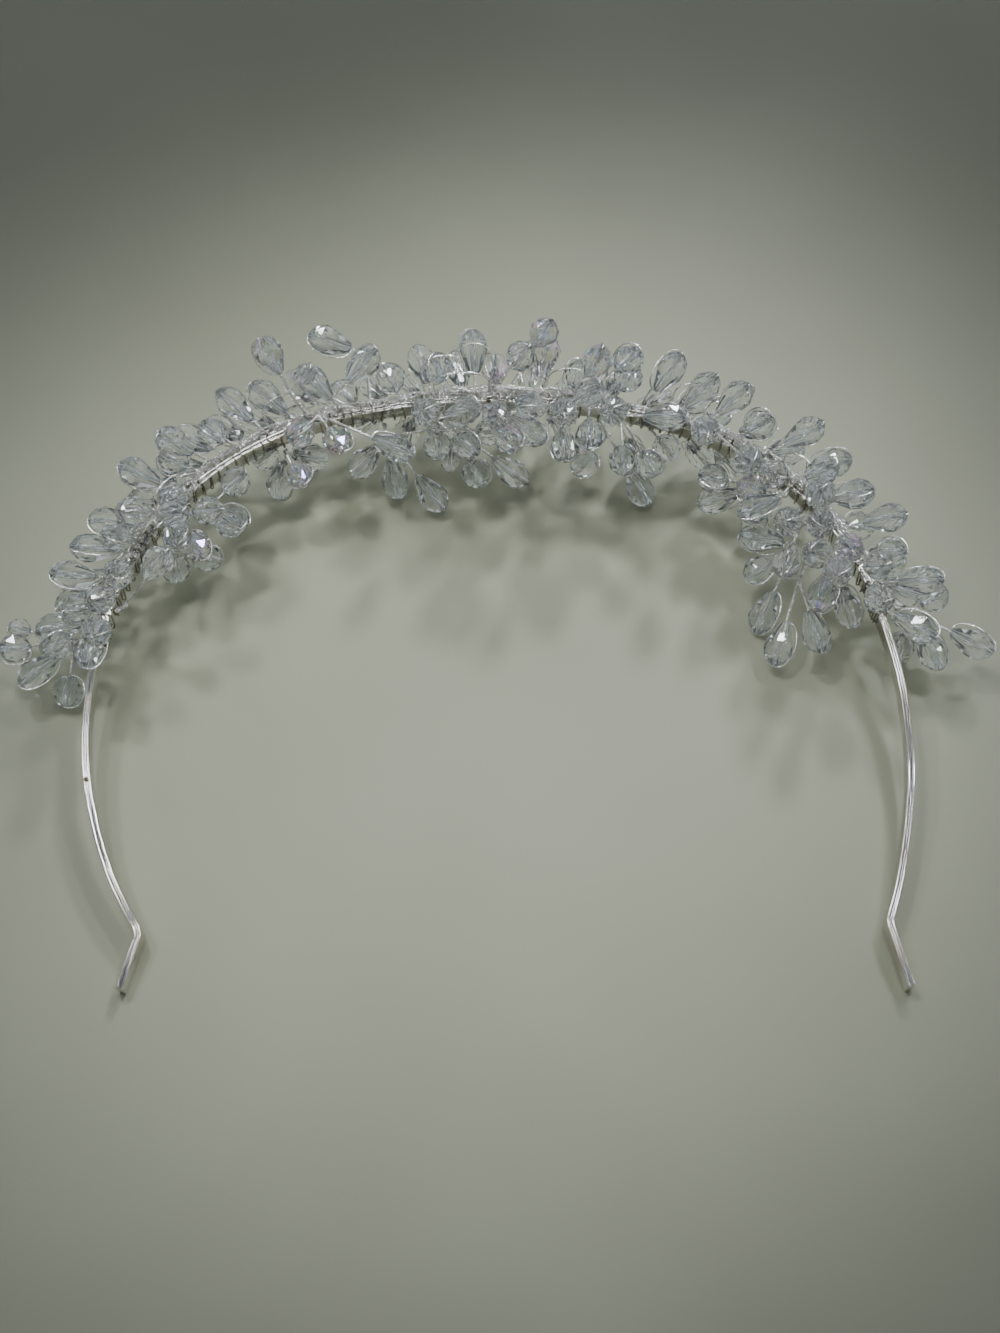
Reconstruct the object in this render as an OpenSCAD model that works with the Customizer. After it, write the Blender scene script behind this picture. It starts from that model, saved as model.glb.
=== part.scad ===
// A bridal diadem: a springy silver-plated band bent to the head, bound with fine wire,
// and twigs of faceted clear beads that stand on twisted wire stalks all along its arch.
// It lies on its lower edge: +Z is up, the arch is at +Y and the open ends are at -Y.

/* [Band] */
// Width of the band strip, which stands upright when the diadem lies down
band_width = 3.6; // [3:0.1:4.6]
// Thickness of the band strip
band_thickness = 1.3; // [1.1:0.1:1.8]
// Width of the groove between the strip's two folded lips
groove_width = 0.3; // [0.2:0.05:0.4]
// Depth of that groove
groove_depth = 0.5; // [0.3:0.1:0.8]
// Radius of the flat arc over the crown
crown_radius = 112; // [100:1:130]
// Sweep of half of the crown arc
crown_sweep = 16; // [12:1:20]
// Radius of the arcs at the shoulders
shoulder_radius = 53; // [48:1:60]
// Sweep of each shoulder arc
shoulder_sweep = 56; // [50:1:60]
// Radius of the left leg's arc
left_leg_radius = 72; // [65:1:90]
// Sweep of the left leg's arc
left_leg_sweep = 50; // [44:1:54]
// Radius of the right leg's arc
right_leg_radius = 90; // [75:1:100]
// Sweep of the right leg's arc
right_leg_sweep = 38; // [34:1:46]
// Radius of the bend between leg and foot
foot_bend_radius = 3; // [2.5:0.5:5]
// Angle by which the left foot splays outward
left_foot_splay = 47; // [20:1:55]
// Angle by which the right foot splays outward
right_foot_splay = 34; // [20:1:50]
// Length of the straight left foot
left_foot_length = 8.5; // [6:0.5:12]
// Length of the straight right foot
right_foot_length = 10.5; // [6:0.5:13]
// Height by which the crown lies above the feet
crown_lift = 15; // [13:0.5:18]

/* [Beads] */
// Length of an oval bead along its hole
bead_length = 8.2; // [7:0.1:9]
// Width of an oval bead
bead_width = 5.4; // [4.6:0.1:6]
// Diameter of a round bead
round_bead = 5.6; // [4.8:0.1:6]
// Diameter of a small round bead
small_bead = 4; // [3.2:0.1:4.4]
// Diameter of the hole through each bead
bead_hole = 0.9; // [0.8:0.05:1.1]
// Number of facets round a bead
bead_sides = 8; // [8:2:10]

/* [Wire] */
// Diameter of the two-ply twisted stalks
stalk_diameter = 0.7; // [0.6:0.05:0.9]
// Diameter of the single wire through the beads
pin_diameter = 0.5; // [0.4:0.05:0.55]
// Thickness of the binding wire round the band
binding_wire = 0.4; // [0.3:0.05:0.6]
// Gap between the band and what is bound round it
binding_gap = 0.15; // [0.1:0.05:0.3]
// Length of bare wire that shows past each end of a bead
wire_end = 0.4; // [0.3:0.1:0.8]
// Number of sides that a wire is drawn with
wire_sides = 6; // [5:1:8]

/* [Wreath] */
// Distance along the band from the crown to the left end of the beads
left_run = 91; // [80:1:96]
// Distance along the band from the crown to the right end of the beads
right_run = 86; // [80:1:92]
// Room beside each stalk of the wreath, beyond the width of a bead
bead_room = 0.8; // [0.7:0.1:2]
// Step from the inner row of beads to the outer row, as a share of the bead length
row_step = 0.15; // [0.12:0.01:0.18]
// Lean of the inner row's beads along the band, away from the crown
bead_lean = 33; // [30:1:35]
// Lean of the outer row's beads
outer_lean = 27; // [24:1:29]
// Close turns of binding wire at each end of the beads
end_turns = 3; // [2:1:4]

/* [Hidden] */
$fn = wire_sides;
SECTIONS = 12;
bead_nodes = ["beads_01", "beads_02", "beads_03", "beads_04", "beads_05", "beads_06",
              "beads_07", "beads_08", "beads_09", "beads_10", "beads_11", "beads_12"];
stalk_nodes = ["stalks_01", "stalks_02", "stalks_03", "stalks_04", "stalks_05", "stalks_06",
               "stalks_07", "stalks_08", "stalks_09", "stalks_10", "stalks_11", "stalks_12"];

// Kinds of bead
OVAL = 0;
ROUND = 1;
SMALL = 2;

// How the wreath fills out along the band: share of the way from its left end to its right end,
// angles round the band between which beads stand (0 is outward, 90 is up, -90 is down),
// and bare stalk between the binding and the inner row of beads, as a share of the bead length
fullness = [
    // share, lowest angle, highest angle, stalk
    [0.00,  -35,  95, 0.07],
    [0.07,  -65, 125, 0.10],
    [0.13,  -90, 150, 0.08],
    [0.18,  -65, 115, 0.19],
    [0.23,  -65,  70, 0.15],
    [0.30,  -85,  80, 0.13],
    [0.38,  -85,  75, 0.06],
    [0.46,  -90,  50, 0.22],
    [0.54,  -70,  30, 0.32],
    [0.58, -100,  80, 0.15],
    [0.66, -150,  60, 0.22],
    [0.72,  -80, 120, 0.06],
    [0.80,  -85, 150, 0.13],
    [0.88, -100, 120, 0.06],
    [0.94,  -70, 115, 0.14],
    [1.00,  -60, 145, 0.13]
];

// Twigs that reach out of the wreath: share of the way along it, where the stem forks, and the
// beads on its branches, all as [along, outward, up] from the band in bead lengths, with the kind
twigs = [
    // share, fork, beads
    [0.01, [-0.21, 0.70, -0.44], [[-1.10, 1.22, -0.30, OVAL], [-1.25, 0.62, -0.80, ROUND],
                                  [-0.75, 1.82, -0.18, ROUND], [-0.20, 1.95, -0.45, SMALL]]],
    [0.01, [0.00, 0.00, 0.62], [[-0.75, -0.05, 0.80, OVAL], [-0.55, -0.25, 1.40, OVAL],
                                [-0.70, 0.75, 0.45, ROUND]]],
    [0.03, [0.10, -0.35, 0.30], [[0.60, -1.10, 1.75, OVAL]]],
    [0.12, [-0.05, -0.35, -0.45], [[-0.25, -0.52, -0.90, ROUND], [0.30, -1.00, -0.75, ROUND]]],
    [0.12, [0.00, -0.10, 0.62], [[0.00, -0.75, 1.60, OVAL]]],
    [0.15, [0.05, -0.35, 0.35], [[-0.30, -1.00, 0.20, ROUND], [0.40, -0.85, 0.60, ROUND]]],
    [0.18, [0.00, -0.35, -0.30], [[0.05, -1.15, 0.05, ROUND], [0.35, -0.85, -0.60, ROUND],
                                  [0.75, -0.62, 0.30, ROUND]]],
    [0.29, [0.00, -0.20, -0.35], [[-0.30, -0.45, -0.95, OVAL], [0.50, -0.25, -0.85, OVAL],
                                  [0.00, -0.95, -0.10, ROUND]]],
    [0.32, [-0.25, 0.50, 0.90], [[-0.45, 0.95, 1.85, OVAL], [0.15, 0.45, 1.55, SMALL]]],
    [0.33, [0.00, 0.00, 0.45], [[0.20, -0.80, 0.60, ROUND], [1.40, -0.95, -0.10, OVAL],
                                [1.15, 0.30, 1.55, OVAL], [-0.55, -0.55, 0.90, ROUND]]],
    [0.39, [0.10, 1.12, 0.72], [[-0.62, 1.55, 0.80, OVAL]]],
    [0.40, [0.00, -0.30, -0.60], [[-0.55, -0.50, -1.20, OVAL], [0.05, -1.00, -1.35, OVAL],
                                  [0.80, -1.50, -1.42, OVAL], [1.45, -0.05, -1.10, OVAL]]],
    [0.45, [0.00, -0.35, 0.00], [[0.65, -1.05, -0.05, ROUND], [-0.20, -0.80, 1.10, OVAL],
                                 [0.60, -0.50, 0.55, OVAL], [0.00, -0.70, -0.60, ROUND]]],
    [0.46, [0.20, -0.30, -0.60], [[0.05, -0.75, -1.30, SMALL], [0.60, -1.05, -1.40, ROUND],
                                  [1.40, -1.05, -1.42, OVAL], [1.00, -0.10, -1.20, ROUND]]],
    [0.49, [0.20, -0.15, 0.55], [[1.00, 0.20, 1.65, ROUND]]],
    [0.50, [0.20, -0.35, 0.35], [[0.90, -0.75, 0.10, OVAL]]],
    [0.51, [0.00, -0.35, 0.00], [[0.45, -1.10, 0.40, OVAL], [0.20, -1.00, 1.20, OVAL]]],
    [0.53, [0.40, 0.60, 0.70], [[0.80, 1.05, 1.30, ROUND]]],
    [0.58, [0.10, -0.40, -0.10], [[0.20, -1.05, 0.15, OVAL]]],
    [0.59, [0.00, -0.25, 0.42], [[-0.05, -1.00, 1.55, OVAL], [0.40, -0.25, 1.10, OVAL],
                                 [1.20, 0.50, 1.45, ROUND], [-0.75, -0.90, 1.45, OVAL]]],
    [0.61, [0.00, -0.25, 0.42], [[0.10, -1.10, 0.85, OVAL]]],
    [0.63, [0.25, -0.25, -0.60], [[1.10, -1.00, -1.42, OVAL], [-0.20, -0.90, -0.85, ROUND]]],
    [0.65, [0.00, -0.25, 0.42], [[-0.10, -0.65, 1.25, OVAL], [0.25, -1.10, -0.05, ROUND],
                                 [1.00, -0.35, 0.90, OVAL], [0.80, -0.80, -0.55, ROUND]]],
    [0.72, [0.00, 0.00, 0.45], [[0.35, -0.55, 1.30, OVAL]]],
    [0.80, [0.25, -0.20, -0.42], [[-0.40, -0.80, -0.85, OVAL], [0.50, -0.60, -1.05, OVAL],
                                  [-0.62, -0.85, -0.05, ROUND]]],
    [0.84, [0.10, -0.40, 0.40], [[-0.10, -1.05, 0.45, OVAL], [-0.60, -0.65, 0.10, ROUND]]],
    [0.86, [0.45, -0.75, -0.35], [[-0.15, -1.15, -0.45, OVAL], [0.30, -1.64, -0.72, ROUND],
                                  [1.05, -2.10, -1.05, OVAL]]],
    [0.88, [0.00, -0.30, -0.35], [[0.55, -1.30, 0.10, OVAL], [0.15, -1.05, 1.00, OVAL]]],
    [0.89, [0.00, -0.25, 0.42], [[0.15, -0.55, 2.00, OVAL]]],
    [0.90, [0.55, -1.15, -0.40], [[1.42, -2.30, -0.78, OVAL], [1.74, -1.64, -0.36, OVAL]]],
    [0.93, [0.10, -0.40, 0.10], [[0.05, -0.85, 0.72, OVAL], [0.98, -0.44, -0.66, OVAL],
                                 [0.62, -1.00, 0.10, OVAL]]],
    [0.93, [0.10, -0.35, 0.30], [[0.80, -1.00, 1.55, OVAL]]],
    [0.99, [0.35, 0.70, -0.05], [[1.35, 1.75, -0.20, OVAL], [1.15, 0.95, -0.50, OVAL],
                                 [0.75, 0.45, -0.90, ROUND], [0.15, 1.32, -0.12, ROUND],
                                 [0.20, 0.65, -0.60, SMALL]]],
    [0.99, [0.00, -0.25, 0.42], [[1.00, 0.40, 0.80, OVAL]]]
];

// The arcs of each half of the band, from the crown down to the foot: radius and sweep
left_arcs = [[crown_radius, crown_sweep], [shoulder_radius, shoulder_sweep],
             [left_leg_radius, left_leg_sweep], [foot_bend_radius, -left_foot_splay]];
right_arcs = [[crown_radius, crown_sweep], [shoulder_radius, shoulder_sweep],
              [right_leg_radius, right_leg_sweep], [foot_bend_radius, -right_foot_splay]];
function arc_run(arc) = arc[0] * PI / 180 * abs(arc[1]);
function sum(list, i = 0) = i == len(list) ? 0 : list[i] + sum(list, i + 1);
left_length = sum([for (arc = left_arcs) arc_run(arc)]) + left_foot_length;
right_length = sum([for (arc = right_arcs) arc_run(arc)]) + right_foot_length;

// Where a walk along one half's arcs comes to: [x, y, heading], the heading turning from +X to -Y
function walk(arcs, run, i = 0, at = [0, 0, 0]) =
    i == len(arcs)
        ? [at.x + run * cos(at.z), at.y - run * sin(at.z), at.z]
        : let (step = min(run, arc_run(arcs[i])),
               bend = sign(arcs[i][1]) * arcs[i][0],
               heading = at.z + step / bend * 180 / PI,
               next = [at.x + bend * (sin(heading) - sin(at.z)),
                       at.y + bend * (cos(heading) - cos(at.z)), heading])
          run <= arc_run(arcs[i]) ? next : walk(arcs, run - step, i + 1, next);

// The band's middle line at a distance from the crown, which is less than nothing on the left
function place(run) =
    run < 0 ? let (p = walk(left_arcs, -run)) [-p.x, p.y, -p.z] : walk(right_arcs, run);
function along(run) = let (h = place(run).z) [cos(h), -sin(h), 0];
function outward(run) = let (h = place(run).z) [sin(h), cos(h), 0];
// A point given from the band as [along, outward, up]
function from_band(run, offset) =
    let (p = place(run))
    [p.x, p.y, 0] + along(run) * offset.x + outward(run) * offset.y + [0, 0, offset.z];

// Stations where the band's outline gets a corner: every few degrees of its arcs
arc_step = 3;
function arc_stations(arcs, i = 0, start = 0) =
    i == len(arcs)
        ? [start]
        : let (steps = ceil(abs(arcs[i][1]) / arc_step), run = arc_run(arcs[i]))
          concat([for (j = [0 : steps - 1]) start + run * j / steps],
                 arc_stations(arcs, i + 1, start + run));
left_stations = concat(arc_stations(left_arcs), [left_length]);
right_stations = concat(arc_stations(right_arcs), [right_length]);
band_stations = concat([for (i = [len(left_stations) - 1 : -1 : 1]) -left_stations[i]], right_stations);

// A strip's outline seen from above, between two distances outward of the band's middle line
function strip(stations, inner, outer) =
    let (last = len(stations) - 1)
    concat([for (s = stations) let (p = from_band(s, [0, outer, 0])) [p.x, p.y]],
           [for (i = [last : -1 : 0]) let (p = from_band(stations[i], [0, inner, 0])) [p.x, p.y]]);

// The wreath's stations: one binding turn and one stalk at each
run_length = left_run + right_run;
wreath_angle = 150; // the angle round the band that the beads share, taken over the whole wreath
bead_spacing = max(bead_width, round_bead) + bead_room;
bead_count = floor(run_length * PI / 180 * wreath_angle * bead_length / (bead_spacing * bead_spacing));
golden = (sqrt(5) - 1) / 2;
row_turn = 0.27; // the share of a turn by which the outer row starts after the inner row
lean_run = 30; // the distance from the crown over which the lean sets in
lean_sway = 3; // what each bead leans more or less than its row
lean_step = 105; // the angle by which those differences follow each other, so that none repeat
function share(k) = (k + 0.5) / bead_count;
function station(k) = -left_run + run_length * share(k);
function column(share, c) = lookup(share, [for (row = fullness) [row[0], row[c]]]);
function fraction(x) = x - floor(x);

stem_diameter = 1.2 * stalk_diameter; // a twig's stem, of more plies than a stalk
knot = 1.5 * stalk_diameter; // the twist where wires part, which is as long as a stalk is thick
knot_reach = norm([knot, stalk_diameter]) / 2;

// Half the size of a binding turn's middle line, outward and up
turn_half = [band_thickness, band_width] / 2 + [1, 1] * (binding_gap + binding_wire / 2);
// Where a stalk that heads for [outward, up] starts: the knot on its binding turn clears the band
knot_half = [band_thickness, band_width] / 2 + [1, 1] * (binding_gap + knot_reach);
function root(out, up) =
    let (reach = max(abs(out) / knot_half.x, abs(up) / knot_half.y))
    [0, out / reach, up / reach];

function unit(v) = v / norm(v);
function bead_span(kind) = kind == OVAL ? bead_length : kind == ROUND ? round_bead : small_bead;
function bead_girth(kind) = kind == OVAL ? bead_width : kind == ROUND ? round_bead : small_bead;
function pin_reach(kind) = bead_span(kind) / 2 + wire_end; // from the bead's middle to the pin's tip

// A bead of the wreath: [station number, kind, middle, direction of its hole, start of its stalk].
// Stations belong to the inner and the outer row in turn, and each row turns by the golden share.
// A leaning bead stands on a longer stalk, so that its tip reaches as far from the band
function wreath_bead(k) =
    let (s = station(k), t = share(k), row = k % 2,
         turn = fraction(floor(k / 2) * golden + row * row_turn),
         angle = column(t, 1) + turn * (column(t, 2) - column(t, 1)),
         kind = k % 4 == 2 ? ROUND : OVAL,
         radial = [0, cos(angle), sin(angle)],
         start = root(radial.y, radial.z),
         tall = (column(t, 3) + row * row_step) * bead_length + 2 * pin_reach(kind),
         lean = (row == 0 ? bead_lean : outer_lean) * max(-1, min(1, s / lean_run))
                + lean_sway * sin(k * lean_step),
         aim = radial * cos(lean) + [sin(lean), 0, 0])
    [k, kind, from_band(s, start + aim * (tall / cos(lean) - pin_reach(kind))),
     from_band(s, aim) - from_band(s, [0, 0, 0]), from_band(s, start)];

// A bead of a twig: the same list, with its stalk starting at the twig's fork
function nearest_turn(t) = min(bead_count - 1, max(0, round(t * bead_count - 0.5)));
function twig_beads(twig) =
    let (k = nearest_turn(twig[0]), s = station(k), fork = twig[1] * bead_length,
         start = from_band(s, fork))
    [for (b = twig[2])
        let (middle = from_band(s, [b.x, b.y, b.z] * bead_length))
        [k, b[3], middle, unit(middle - start), start]];
twig_bead_list = [for (twig = twigs) each twig_beads(twig)];

// A twig on the outer side takes the place of its station's own bead
outer_stations = [for (twig = twigs) if (twig[1].y > 0) nearest_turn(twig[0])];
wreath = [for (k = [0 : bead_count - 1]) if (len(search(k, outer_stations)) == 0) wreath_bead(k)];

strung = concat(wreath, twig_bead_list);

function section(k) = floor(share(k) * SECTIONS);
function in_section(list, i) = [for (b = list) if (section(b[0]) == i) b];

// A bead's corners about its own middle, with the hole along +Z: rings of corners of which the
// upper ones are turned by half a facet. An oval bead is a drop, narrow where its stalk ends
drop_rings = [
    // height as a share of the length, radius as a share of the girth (0 is the hole's), turn
    [-0.50, 0.00, 0.0], [-0.46, 0.20, 0.0], [-0.02, 0.50, 0.0],
    [ 0.22, 0.50, 0.5], [ 0.46, 0.24, 0.5], [ 0.50, 0.00, 0.0]
];
ball_rings = [
    [-0.50, 0.00, 0.0], [-0.45, 0.27, 0.0], [-0.19, 0.50, 0.0],
    [ 0.19, 0.50, 0.5], [ 0.45, 0.27, 0.5], [ 0.50, 0.00, 0.0]
];
function bead_rings(kind) = kind == OVAL ? drop_rings : ball_rings;
function circle_corners(radius, height, sides, turn = 0) =
    [for (j = [0 : sides - 1]) let (a = 360 / sides * (j + turn)) [radius * cos(a), radius * sin(a), height]];
function bead_corners(kind) =
    [for (ring = bead_rings(kind))
        let (radius = ring[1] == 0 ? bead_hole / 2 : ring[1] * bead_girth(kind))
        each circle_corners(radius, ring[0] * bead_span(kind), bead_sides, ring[2])];

// A point of something aimed at a direction, and a point of the band tilted as the diadem lies
function turned(p, direction) =
    let (lean = acos(direction.z), way = atan2(direction.y, direction.x),
         x = p.x * cos(lean) + p.z * sin(lean), z = p.z * cos(lean) - p.x * sin(lean))
    [x * cos(way) - p.y * sin(way), x * sin(way) + p.y * cos(way), z];
function tilted(p) = [p.x, p.y * cos(tilt) - p.z * sin(tilt), p.y * sin(tilt) + p.z * cos(tilt)];

// The diadem lies with its crown higher than its feet, on its lowest corner, and its origin is
// in the middle of the surface that it covers
tilt = asin(crown_lift / -min(place(-left_length).y, place(right_length).y));
bead_reach = [for (b = strung)
    for (c = concat(bead_corners(b[1]), circle_corners(pin_diameter / 2, pin_reach(b[1]), $fn)))
        tilted(b[2] + turned(c, b[3]))];
band_reach = [for (s = band_stations) for (side = [-1, 1]) for (edge = [-1, 1])
    tilted(from_band(s, [0, side * band_thickness / 2, edge * band_width / 2]))];
reach = concat(bead_reach, band_reach);
function column_of(list, c) = [for (p = list) p[c]];
function middle(values) = (min(values) + max(values)) / 2;
module laid() {
    translate(-[middle(column_of(reach, 0)), middle(column_of(reach, 1)), min(column_of(reach, 2))])
        rotate([tilt, 0, 0])
            children();
}

// Turns children's +Z to a direction and puts them at a point
module aimed(at, direction) {
    translate(at)
        rotate([0, acos(direction.z), atan2(direction.y, direction.x)])
            children();
}

module rod(a, b, diameter) {
    aimed(a, unit(b - a))
        cylinder(d = diameter, h = norm(b - a));
}

// A faceted bead round a hole
module bead(kind) {
    rings = len(bead_rings(kind));
    n = bead_sides;
    // The last row of facets lines the hole, from the top ring back to the bottom one
    facets = [for (i = [0 : rings - 1]) for (j = [0 : n - 1])
        let (a = i * n + j, b = i * n + (j + 1) % n,
             c = ((i + 1) % rings) * n + j, d = ((i + 1) % rings) * n + (j + 1) % n)
        each [[a, c, b], [b, c, d]]];
    polyhedron(bead_corners(kind), facets);
}

module band() {
    color("silver")
        laid()
            difference() {
                linear_extrude(height = band_width, center = true)
                    polygon(strip(band_stations, -band_thickness / 2, band_thickness / 2));
                for (side = [-1, 1])
                    translate([0, 0, side * band_width / 2])
                        linear_extrude(height = 2 * groove_depth, center = true)
                            polygon(strip(band_stations, -groove_width / 2, groove_width / 2));
            }
}

module beads(i) {
    color([0.85, 0.9, 0.95, 0.6])
        laid()
            for (b = in_section(strung, i))
                aimed(b[2], b[3])
                    bead(b[1]);
}

// One turn of binding wire round the band
module turn(run) {
    p = place(run);
    translate([p.x, p.y, 0])
        rotate(-p.z)
            difference() {
                cube([binding_wire, 2 * turn_half[0] + binding_wire, 2 * turn_half[1] + binding_wire],
                     center = true);
                cube([2 * binding_wire, 2 * turn_half[0] - binding_wire, 2 * turn_half[1] - binding_wire],
                     center = true);
            }
}

// A twisted stalk from its start to a bead, and the single wire on through the bead
module stalk(b) {
    base = b[2] - b[3] * pin_reach(b[1]);
    rod(b[4], base, stalk_diameter);
    rod(base - b[3] * stalk_diameter / 2, b[2] + b[3] * pin_reach(b[1]), pin_diameter);
}

// The twist at an end of a stalk or stem that goes on to another point
module twist(at, towards) {
    way = unit(towards - at) * stalk_diameter / 2;
    rod(at - way, at + way, knot);
}

// A twig's stem, from its binding turn to where it forks
module stem(twig) {
    s = station(nearest_turn(twig[0]));
    ends = [from_band(s, root(twig[1].y, twig[1].z)), from_band(s, twig[1] * bead_length)];
    rod(ends[0], ends[1], stem_diameter);
    twist(ends[0], ends[1]);
    twist(ends[1], ends[0]);
}

module stalks(i) {
    turns = [for (k = [0 : bead_count - 1]) if (section(k) == i) station(k)];
    // Close turns finish the binding at the ends of the beads
    step = 2 * binding_wire;
    bound = concat(i == 0 ? [for (j = [end_turns : -1 : 1]) turns[0] - j * step] : [], turns,
                   i == SECTIONS - 1 ? [for (j = [1 : end_turns]) turns[len(turns) - 1] + j * step] : []);
    color("gainsboro")
        laid() {
            for (s = bound)
                turn(s);
            // The stalks' tails run along the outer face under the turns and join them
            linear_extrude(height = stalk_diameter, center = true)
                polygon(strip(bound, turn_half.x - binding_wire / 2, turn_half.x + binding_wire / 2));
            for (b = in_section(strung, i))
                stalk(b);
            for (b = in_section(wreath, i))
                twist(b[4], b[2]);
            for (twig = twigs)
                if (section(nearest_turn(twig[0])) == i)
                    stem(twig);
        }
}

band();
for (i = [0 : SECTIONS - 1]) {
    beads(i);
    stalks(i);
}
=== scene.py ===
import math

import bpy
import numpy as np
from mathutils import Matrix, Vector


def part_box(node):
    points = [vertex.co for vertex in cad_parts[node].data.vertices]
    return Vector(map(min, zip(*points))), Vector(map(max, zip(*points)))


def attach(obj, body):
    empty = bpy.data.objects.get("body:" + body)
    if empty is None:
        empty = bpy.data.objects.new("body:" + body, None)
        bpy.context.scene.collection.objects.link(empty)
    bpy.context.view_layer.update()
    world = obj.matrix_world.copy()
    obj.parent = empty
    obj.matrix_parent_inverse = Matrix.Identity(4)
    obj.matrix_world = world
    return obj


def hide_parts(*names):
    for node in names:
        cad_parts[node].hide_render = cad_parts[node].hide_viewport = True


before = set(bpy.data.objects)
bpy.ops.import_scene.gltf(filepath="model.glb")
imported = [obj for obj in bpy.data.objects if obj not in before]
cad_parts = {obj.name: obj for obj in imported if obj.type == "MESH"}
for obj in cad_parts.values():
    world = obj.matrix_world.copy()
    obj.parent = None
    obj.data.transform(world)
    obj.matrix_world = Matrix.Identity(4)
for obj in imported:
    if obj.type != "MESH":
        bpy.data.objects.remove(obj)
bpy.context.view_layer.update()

# A bridal diadem: silver-plated band, twisted silver wires and faceted crystal beads.
# Lengths are millimetres in the band's own plane, with the crown at zero; laid() turns them to metres.
mm = 0.001
golden = (math.sqrt(5) - 1) / 2
up = np.array([0.0, 0.0, 1.0])

bandShape = {
    "width": 3.6, "thickness": 1.3, "groove": 0.34, "grooveDepth": 0.5,
    "leftArcs": [(112, 16), (53, 56), (72, 50), (3, -47)], "leftFoot": 8.5,
    "rightArcs": [(112, 16), (53, 56), (90, 38), (3, -34)], "rightFoot": 10.5,
    "crownLift": 15,
    "step": 0.6,        # distance between the cross-sections
    "waver": 0.07,      # how far hand bending leaves the strip off its arcs,
    "waverFrom": 80, "waverFull": 100,  # growing between these distances from the crown
    "waves": ((7.3, 1.0, 0.0), (3.1, 0.6, 1.0)),  # its two sine waves: run per radian, share, phase
    "lipSteps": 7,      # corners of a lip's half circle, and of a flat face
    "grooveFloor": 0.7,  # width of the groove's floor, as a share of its mouth
    "endRound": 0.06, "endShare": 0.9,  # the ends narrow to this share over this length
}
wireShape = {
    "stalk": 0.7, "binding": 0.4, "gap": 0.15, "end": 0.4,
    "strand": 0.3,      # one wire of a twisted pair
    "pitch": 1.8,       # one full twist of a pair
    "turn": 0.29,       # the wire of the binding turns
    "sides": 5,
    "knot": 1.5,        # half the size of a stalk's knot, in stalks
}
bandHalf = np.array([bandShape["thickness"], bandShape["width"]]) / 2  # outward and up
wreathShape = {
    "leftRun": 91, "rightRun": 86, "angle": 150, "room": 0.8, "rowStep": 0.15, "rowTurn": 0.27,
    "leans": (33, 27),  # of the inner and the outer row, along the band and away from the crown
    "leanRun": 30, "leanSway": 3, "leanStep": 105, "endTurns": 3, "fields": 12,
}
beadHole = 0.9
coatedShare = 0.1  # of the beads, with an aurora coat
aslant = np.array([0.31, 0.57, 0.76])  # a direction that no bead's hole follows
seeds = {"beads": 100, "wires": 200}
oval, rounded, small = 0, 1, 2
spans = np.array([8.2, 5.6, 4.0])   # length of each kind of bead along its hole
girths = np.array([5.4, 5.6, 4.0])  # and its width

# Share of the way along the wreath, lowest and highest angle of the beads round the band, bare stalk
fullness = np.array([
    (0.00, -35, 95, 0.07), (0.07, -65, 125, 0.10), (0.13, -90, 150, 0.08), (0.18, -65, 115, 0.19),
    (0.23, -65, 70, 0.15), (0.30, -85, 80, 0.13), (0.38, -85, 75, 0.06), (0.46, -90, 50, 0.22),
    (0.54, -70, 30, 0.32), (0.58, -100, 80, 0.15), (0.66, -150, 60, 0.22), (0.72, -80, 120, 0.06),
    (0.80, -85, 150, 0.13), (0.88, -100, 120, 0.06), (0.94, -70, 115, 0.14), (1.00, -60, 145, 0.13)])

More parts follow.
